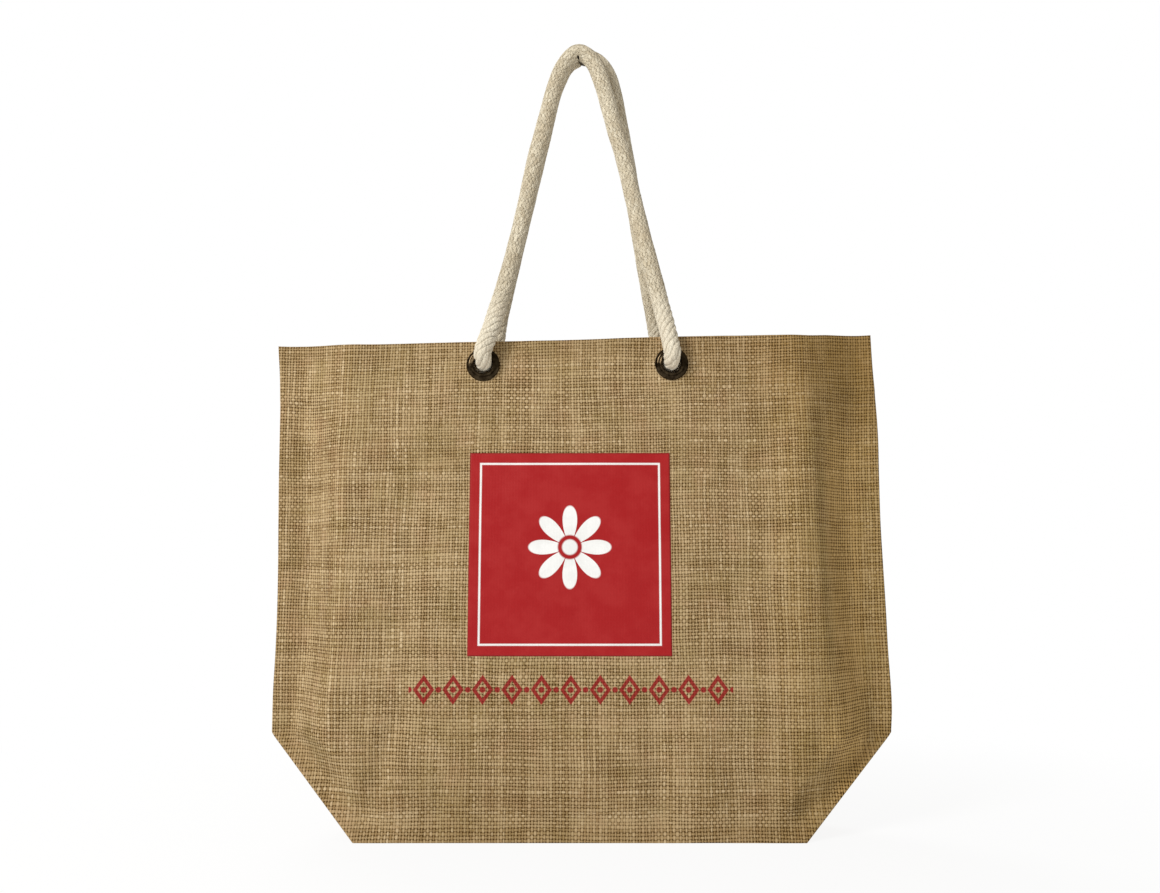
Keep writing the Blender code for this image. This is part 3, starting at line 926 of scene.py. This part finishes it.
def weave_of(tree, uv, seed):
    """The threads of plain-woven burlap.

    Gives its height, how much of it is a hole, whether the level thread is on
    top, and random numbers of the thread on top.
    """
    u, v, _ = separate(uv)
    # threads bunch and part, and drift from their lines
    slow = combine(tree, u * 0.036, v * 0.03, seed)
    wander_u = noise(slow, 1.0, 1.0).line(0, 1, -1, 1)
    wander_v = noise(combine(tree, u * 0.028, v * 0.04, seed + 7.3), 1.0, 1.0).line(0, 1, -1, 1)
    jitter_u = noise(combine(tree, u * 0.62, v * 0.06, seed + 3.1), 1.0, 1.0).line(0, 1, -1, 1)
    jitter_v = noise(combine(tree, u * 0.06, v * 0.62, seed + 5.9), 1.0, 1.0).line(0, 1, -1, 1)
    uu = u + wander_u * 0.8 + jitter_u * 0.34
    vv = v + wander_v * 0.8 + jitter_v * 0.34
    i, j = uu.floor(), vv.floor()
    fu, fv = uu - i - 0.5, vv - j - 0.5

    # each thread has its own width, and thick and thin stretches
    key_i = combine(tree, i, seed + 0.5, 0.37)
    key_j = combine(tree, j, seed + 1.5, 0.61)
    own_i, own_j = random_of(key_i), random_of(key_j)
    along_i = noise(combine(tree, i * 3.77, vv * 0.16, seed + 11), 1.0, 1.0)
    along_j = noise(combine(tree, uu * 0.16, j * 3.77, seed + 13), 1.0, 1.0)
    patch = noise(combine(tree, u * 0.03, v * 0.035, seed + 17), 1.0, 2.0, 0.6)
    close = noise(combine(tree, u * 0.085, v * 0.075, seed + 19), 1.0, 2.0, 0.6).line(0.34, 0.66, -0.030, 0.038)
    wide_i = own_i.line(0, 1, -0.045, 0.045) + along_i.line(0.25, 0.75, 0.275, 0.370) - patch.line(0.35, 0.65, -0.03, 0.04) + close
    wide_j = own_j.line(0, 1, -0.045, 0.045) + along_j.line(0.25, 0.75, 0.290, 0.395) + patch.line(0.35, 0.65, -0.03, 0.06) + close

    du, dv = (fu / wide_i).abs(), (fv / wide_j).abs()
    round_u = (1.0 - (du * du).min(1.0)).sqrt()
    round_v = (1.0 - (dv * dv).min(1.0)).sqrt()
    lift = 0.54
    over = ((vv - 0.5 + i) * math.pi).cos() * lift
    under = ((uu + 0.5 + j) * math.pi).cos() * lift
    up = over + round_u * 0.52 - du.above(1.0) * 3.0
    level = under + round_v * 0.52 - dv.above(1.0) * 3.0
    level_top = level._op("GREATER_THAN", up)
    top = up.max(level)
    hole = 1.0 - top.step(-0.65, -0.05)
    height = top.max(-0.9)

    tone_i = own_i * 0.45 + along_i * 0.55
    tone_j = own_j * 0.45 + along_j * 0.55
    tone = tone_i + (tone_j - tone_i) * level_top
    # single pale or dark threads that stand out for a stretch
    odd_i = (random_of(combine(tree, i, seed + 2.5, 0.23)) - 0.5) * along_i.step(0.36, 0.56)
    odd_j = (random_of(combine(tree, j, seed + 3.5, 0.79)) - 0.5) * along_j.step(0.36, 0.56)
    odd = odd_i + (odd_j - odd_i) * level_top
    # fibres run along the thread on top, at a slight twist
    fibre_i = noise(combine(tree, (uu + vv * 0.12) * 7.5, vv * 0.9, seed + 23), 1.0, 2.0, 0.65)
    fibre_j = noise(combine(tree, uu * 0.9, (vv + uu * 0.12) * 7.5, seed + 29), 1.0, 2.0, 0.65)
    fibre = fibre_i + (fibre_j - fibre_i) * level_top
    return height, hole, level_top, tone, odd, fibre, close


def burlap_material(name, seed, printed=False):
    material, tree, shader = new_material(name)
    uv = coordinates(tree, "UV", "weave")
    place = coordinates(tree, "Object")
    height, hole, level_top, tone, odd, fibre, close = weave_of(tree, uv, seed)

    # the jute's colour: straw to brown by the thread, warmer and greener by the place
    thread = mixed(tone.step(0.24, 0.76), (0.350, 0.232, 0.104), (0.580, 0.430, 0.240))
    thread = mixed(level_top * 0.18, thread, (0.55, 0.40, 0.210))
    thread = mixed(odd.step(0.30, 0.46) * 0.55, thread, (0.81, 0.64, 0.40))
    thread = mixed(odd.step(-0.34, -0.48) * 0.38, thread, (0.22, 0.135, 0.052))
    thread = mixed(fibre.step(0.35, 0.75) * 0.32, thread, (0.69, 0.545, 0.33))
    thread = mixed(fibre.step(0.62, 0.30) * 0.42, thread, (0.23, 0.135, 0.048))
    warm = noise(place, 55, 2.0)
    thread = mixed(warm.step(0.48, 0.70) * 0.30, thread, (0.43, 0.262, 0.142))
    olive = noise(place, 38, 2.0)
    thread = mixed(olive.step(0.30, 0.52, 1.0, 0.0) * 0.26, thread, (0.275, 0.205, 0.068))
    broad = noise(place, 17, 1.0)
    thread = mixed(broad.line(0.3, 0.7, 0.08, 0.0), thread, (0.20, 0.122, 0.044))
    if printed:
        # painted shade: the cloth is darker towards its right side, its upper right corner and along the top hem; a
        # painted light band runs beside the right seam
        across, _, up = separate(place)
        thread = mixed(across.step(0.04, 0.19) * up.step(0.250, 0.330) * 0.36, thread, (0.265, 0.124, 0.028))
        thread = mixed(across.step(0.105, 0.175) * 0.34, thread, (0.375, 0.232, 0.044))
        # painted light: a paler band beside the right seam
        painted_light_by_seam = across.step(0.163, 0.177) * across.step(0.202, 0.192) * up.step(0.300, 0.250)
        thread = mixed(painted_light_by_seam * 0.36, thread, (0.74, 0.475, 0.18))
        thread = mixed(across.step(0.176, 0.194) * up.step(0.258, 0.292) * 0.26, thread, (0.19, 0.114, 0.040))
        thread = mixed(across.step(0.125, 0.090) * up.step(0.312, 0.332) * 0.22, thread, (0.20, 0.122, 0.045))
    # darker towards the foot
    _, _, height_of = separate(place)
    thread = mixed(height_of.step(0.075, 0.012) * 0.20, thread, (0.20, 0.122, 0.040))
    # shade between the threads
    shade = height.step(-0.14, 0.96) + close.line(-0.030, 0.038, -0.03, 0.05)
    thread = mixed((1.0 - shade).max(0.0), thread, (0.125, 0.066, 0.017))
    # painted shade: the holes between the threads are dark brown
    colour = mixed(hole, thread, (0.072, 0.037, 0.008))

    if printed:
        # a printed row of lozenges and dots under the film
        x, _, z = separate(place)
        across = (x + 0.0041) / 0.0193 + 0.5
        cell = across.floor()
        f = (across - cell - 0.5).abs() * 0.0193
        up = (z - 0.0968).abs()
        ragged = (fibre - 0.5) * 0.0009
        lozenge = f * 1.05 + up * 0.76
        ring = (lozenge - 0.0058).abs()
        line = ring.line(0.0013, 0.0018, 1.0, 0.0)
        heart = (f * f + up * up).sqrt().line(0.0017, 0.0022, 1.0, 0.0)
        between = ((f - 0.00965) * (f - 0.00965) + up * up).sqrt().line(0.0016, 0.0021, 1.0, 0.0)
        ends = (x + 0.0041).abs().line(0.1062, 0.1066, 1.0, 0.0)
        mark = line.max(heart).max(between) * ends
        mark = mark * (1.0 - hole * 0.55) * (ragged * 300.0 + 0.95).min(1.0)
        colour = mixed(mark * 0.96, colour, (0.29, 0.011, 0.016))

    tree.links.new(colour.socket, shader.inputs["Base Color"])
    shader.inputs["Roughness"].default_value = 0.92
    shader.inputs["Specular IOR Level"].default_value = 0.06
    relief = height * 0.62 + fibre * 0.16
    tree.links.new(bump(tree, relief, 0.00052, 1.0), shader.inputs["Normal"])
    return material


def rope_material():
    material, tree, shader = new_material("braided_cotton")
    uv = coordinates(tree, "UV", "braid")
    place = coordinates(tree, "Object")
    around, along, _ = separate(uv)
    a, b = (around + along) * STRANDS, (around - along) * STRANDS
    a = a + ((around + along * 9.3) * TAU).sin() * 0.20 + ((around * 3 - along * 21.0) * TAU + 1.7).sin() * 0.13
    b = b + ((around - along * 7.1) * TAU + 0.8).sin() * 0.20 + ((around * 2 + along * 25.0) * TAU + 4.0).sin() * 0.13
    i, j = a.floor(), b.floor()
    fa, fb = a - i - 0.5, b - j - 0.5
    round_a = (1.0 - ((fa * 1.9) * (fa * 1.9)).min(1.0)).sqrt()
    round_b = (1.0 - ((fb * 1.9) * (fb * 1.9)).min(1.0)).sqrt()
    high = ((b - 0.5 + i) * math.pi).cos() * 0.45 + round_a * 0.55
    low = ((a + 0.5 + j) * math.pi).cos() * 0.45 + round_b * 0.55
    first = high.max(-2.0)._op("GREATER_THAN", low)
    top = high.max(low)
    # yarns within a strand, and their fuzz
    yarn_a = (fa * 2.0 * TAU).cos() * -1.0
    yarn_b = (fb * 2.0 * TAU).cos() * -1.0
    yarn = yarn_b + (yarn_a - yarn_b) * first
    fuzz = noise(place, 1500, 3.0, 0.7)
    soil = noise(place, 60, 2.0)
    key = random_of(combine(tree, i * first, j * (1.0 - first), first + 0.37))

    colour = mixed(key, (0.615, 0.530, 0.375), (0.815, 0.740, 0.570))
    colour = mixed(fuzz.step(0.35, 0.70) * 0.30, colour, (0.86, 0.79, 0.645))
    # painted shade in the grooves between the yarns
    colour = mixed(yarn.step(-0.1, -1.0) * 0.34, colour, (0.35, 0.27, 0.165))
    colour = mixed(soil.step(0.44, 0.70) * 0.30, colour, (0.52, 0.415, 0.27))
    fleck = noise(combine(tree, a * 0.8, b * 0.8, 3.0), 1.0, 1.0)
    shade = top.step(0.02, 0.74) * fleck.step(0.30, 0.62, 1.0, 0.72)
    # by the holes the small braid gives way to slanting strands
    _, _, up = separate(place)
    by_hole = up.step(0.342, 0.372, 1.0, 0.0)
    sway = ((around + along * 5) * TAU).sin() * 0.10
    strand = ((around * 6 - along * 12 + sway) * math.pi).cos().abs()
    slanting = strand.step(0.0, 0.45, 0.55, 1.0) * shade.line(0, 1, 0.84, 1.0)
    shade = shade + (slanting - shade) * (by_hole * 0.90)
    colour = mixed(by_hole * 0.50, colour, (0.85, 0.785, 0.645))
    colour = mixed(1.0 - shade, colour, (0.160, 0.112, 0.052))
    # painted shadow inside the crease at the top of the handle
    painted_crease_shadow = along.above(50.0) * 0.92 - along.above(150.0) * 0.50
    colour = mixed(painted_crease_shadow, colour, (0.030, 0.019, 0.009))
    tree.links.new(colour.socket, shader.inputs["Base Color"])
    shader.inputs["Roughness"].default_value = 0.88
    shader.inputs["Specular IOR Level"].default_value = 0.2
    shader.inputs["Sheen Weight"].default_value = 0.12
    shader.inputs["Sheen Roughness"].default_value = 0.4
    relief = top * (1.0 - by_hole * 0.55) + yarn * 0.16 + fuzz * 0.28
    tree.links.new(bump(tree, relief, 0.00055, 1.0), shader.inputs["Normal"])
    return material


def metal_material():
    material, tree, shader = new_material("dark_bronze")
    place = coordinates(tree, "Object")
    patina = noise(place, 260, 3.0, 0.6)
    fine = noise(place, 1400, 2.0)
    worn = noise(place, 120, 2.0)
    geometry = tree.nodes.new("ShaderNodeNewGeometry")
    edge = Value(tree, geometry.outputs["Pointiness"])
    colour = mixed(patina.step(0.35, 0.65), (0.019, 0.0125, 0.0065), (0.056, 0.040, 0.022))
    wear = (edge.step(0.53, 0.60) * 0.30 + worn.step(0.66, 0.78) * 0.30).min(1.0)
    colour = mixed(wear, colour, (0.20, 0.155, 0.095))
    tree.links.new(colour.socket, shader.inputs["Base Color"])
    shader.inputs["Metallic"].default_value = 1.0
    rough = patina.line(0.3, 0.7, 0.14, 0.24)
    tree.links.new(rough.socket, shader.inputs["Roughness"])
    tree.links.new(bump(tree, patina * 0.6 + fine * 0.4, 0.00010, 0.5), shader.inputs["Normal"])
    return material


def film_material():
    material, tree, shader = new_material("red_print_film")
    uv = coordinates(tree, "UV", "weave")
    place = coordinates(tree, "Object")
    u, v, _ = separate(uv)
    cx, cy = u - 0.5, v - 0.53
    radius = (cx * cx + cy * cy).sqrt()
    angle = cy._op("ARCTAN2", cx)
    # a plain eight-petalled rosette
    petal = (angle * 4.0).cos().abs()
    reach = petal.power(0.55) * 0.205
    flower = (radius - reach).line(-0.004, 0.004, 1.0, 0.0) * radius.line(0.056, 0.064, 0.0, 1.0)
    heart = radius.line(0.034, 0.042, 1.0, 0.0)
    edge = (u - 0.5).abs().max((v - 0.5).abs())
    frame_line = (edge - 0.445).abs().line(0.0028, 0.0068, 1.0, 0.0)
    white = flower.max(heart).max(frame_line)

    mottle = noise(place, 70, 3.0, 0.6)
    threads_x, _, threads_z = separate(place)
    weave = ((threads_x / WARP * TAU).cos() + (threads_z / 0.00208 * TAU).cos()) * 0.25
    worn = noise(place, 420, 2.0)
    red = mixed(mottle.step(0.35, 0.68), (0.352, 0.0125, 0.014), (0.378, 0.0185, 0.0190))
    red = mixed(worn.step(0.62, 0.80) * 0.12, red, (0.43, 0.05, 0.05))
    pale = mixed(mottle.step(0.35, 0.68), (0.80, 0.80, 0.78), (0.87, 0.87, 0.85))
    colour = mixed(white, red, pale)
    rim = edge.step(0.490, 0.4995)
    colour = mixed(rim * 0.5, colour, (0.17, 0.012, 0.014))
    tree.links.new(colour.socket, shader.inputs["Base Color"])
    shader.inputs["Specular IOR Level"].default_value = 0.14
    rough = mottle.line(0.3, 0.7, 0.38, 0.50)
    tree.links.new(rough.socket, shader.inputs["Roughness"])
    relief = weave * 0.35 + worn * 0.35 + noise(place, 2600, 1.0) * 0.2
    tree.links.new(bump(tree, relief, 0.00016, 0.9), shader.inputs["Normal"])
    return material


def floor_material():
    material, tree, shader = new_material("pale_floor")
    shader.inputs["Base Color"].default_value = (0.90, 0.90, 0.895, 1)
    shader.inputs["Roughness"].default_value = 0.9
    shader.inputs["Specular IOR Level"].default_value = 0.1
    # far from the bag the floor runs out into the white of the studio
    x, y, _ = separate(coordinates(tree, "Object"))
    away = (x * x + y * y).sqrt().step(0.16, 0.70, 0.90, 1.0)
    glow = tree.nodes.new("ShaderNodeEmission")
    glow.inputs["Strength"].default_value = 1.0
    blend = tree.nodes.new("ShaderNodeMixShader")
    tree.links.new(away.socket, blend.inputs[0])
    tree.links.new(shader.outputs[0], blend.inputs[1])
    tree.links.new(glow.outputs[0], blend.inputs[2])
    tree.links.new(blend.outputs[0], tree.nodes["Material Output"].inputs["Surface"])
    return material


# ---------------------------------------------------------------- the object
front_burlap = burlap_material("burlap_front", 2.0, printed=True)
back_burlap = burlap_material("burlap_back", 41.0)
base_burlap = burlap_material("burlap_base", 83.0)
cotton = rope_material()
bronze = metal_material()
red_film = film_material()

ropes = {}
for name, node, route, folds, facing in (
    ("rope_front", "handle_front", FRONT_ROUTE, FRONT_FOLDS, -1),
    ("rope_back", "handle_back", BACK_ROUTE, BACK_FOLDS, 1),
):
    ropes[name] = add_handle(name, node, route, folds, facing, 1400, cotton)

panel_front = add_panel("cloth_front", FRONT_FOLDS, -1, 0.0020, front_burlap)
panel_back = add_panel("cloth_back", BACK_FOLDS, 1, 0.0024, back_burlap)
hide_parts("front_panel")
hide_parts("back_panel")
base = add_base(base_burlap)
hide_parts("base_gusset")
film = add_film(red_film)

rings = {"front": [], "back": []}
for face, folds, facing in (("front", FRONT_FOLDS, -1), ("back", BACK_FOLDS, 1)):
    for side, x, z, right, lift in EYELETS:
        at = (x + right, facing * float(depth(x, z, folds)), z + lift)
        rings[face].append(add_ring(f"ring_{face}_{side}", f"eyelet_{face}_{side}", x, z, folds, facing, bronze))
        turn = {"front_left": 0.4, "front_right": 2.1, "back_left": 1.2, "back_right": 2.9}[f"{face}_{side}"]
        add_stopper(f"stopper_{face}_{side}", f"knot_{face}_{side}", at, facing, turn, cotton)


# ---------------------------------------------------------------- floor and light
bpy.ops.mesh.primitive_plane_add(size=12, location=(0, 0, 0))
floor = bpy.context.object
floor.name = "floor"
floor.data.materials.append(floor_material())


def area_light(name, at, aim, size, power, colour=(1, 1, 1)):
    data = bpy.data.lights.new(name, "AREA")
    data.shape = "SQUARE"
    data.size = size
    data.energy = power
    data.color = colour
    made = bpy.data.objects.new(name, data)
    made.location = at
    made.rotation_mode = "QUATERNION"
    made.rotation_quaternion = (Vector(aim) - Vector(at)).to_track_quat("-Z", "Y")
    bpy.context.scene.collection.objects.link(made)
    return made


area_light("key", (-1.20, -1.40, 1.25), (0, 0, 0.25), 0.70, 34, (1.0, 0.998, 0.995))
area_light("back_fill", (-0.9, 1.6, 1.3), (0, 0, 0.25), 1.2, 24, (1.0, 1.0, 1.0))

world = bpy.data.worlds.new("studio")
bpy.context.scene.world = world
world.use_nodes = True
nodes = world.node_tree.nodes
background = nodes["Background"]
seen = Value(world.node_tree, nodes.new("ShaderNodeLightPath").outputs["Is Camera Ray"])
strength = seen.line(0, 1, 0.36, 1.0)
world.node_tree.links.new(strength.socket, background.inputs["Strength"])
tint = mixed(seen, (1.0, 0.945, 0.85), (1.0, 1.0, 1.0))
world.node_tree.links.new(tint.socket, background.inputs["Color"])

bpy.context.scene.view_settings.view_transform = "Standard"
bpy.context.scene.view_settings.look = "None"
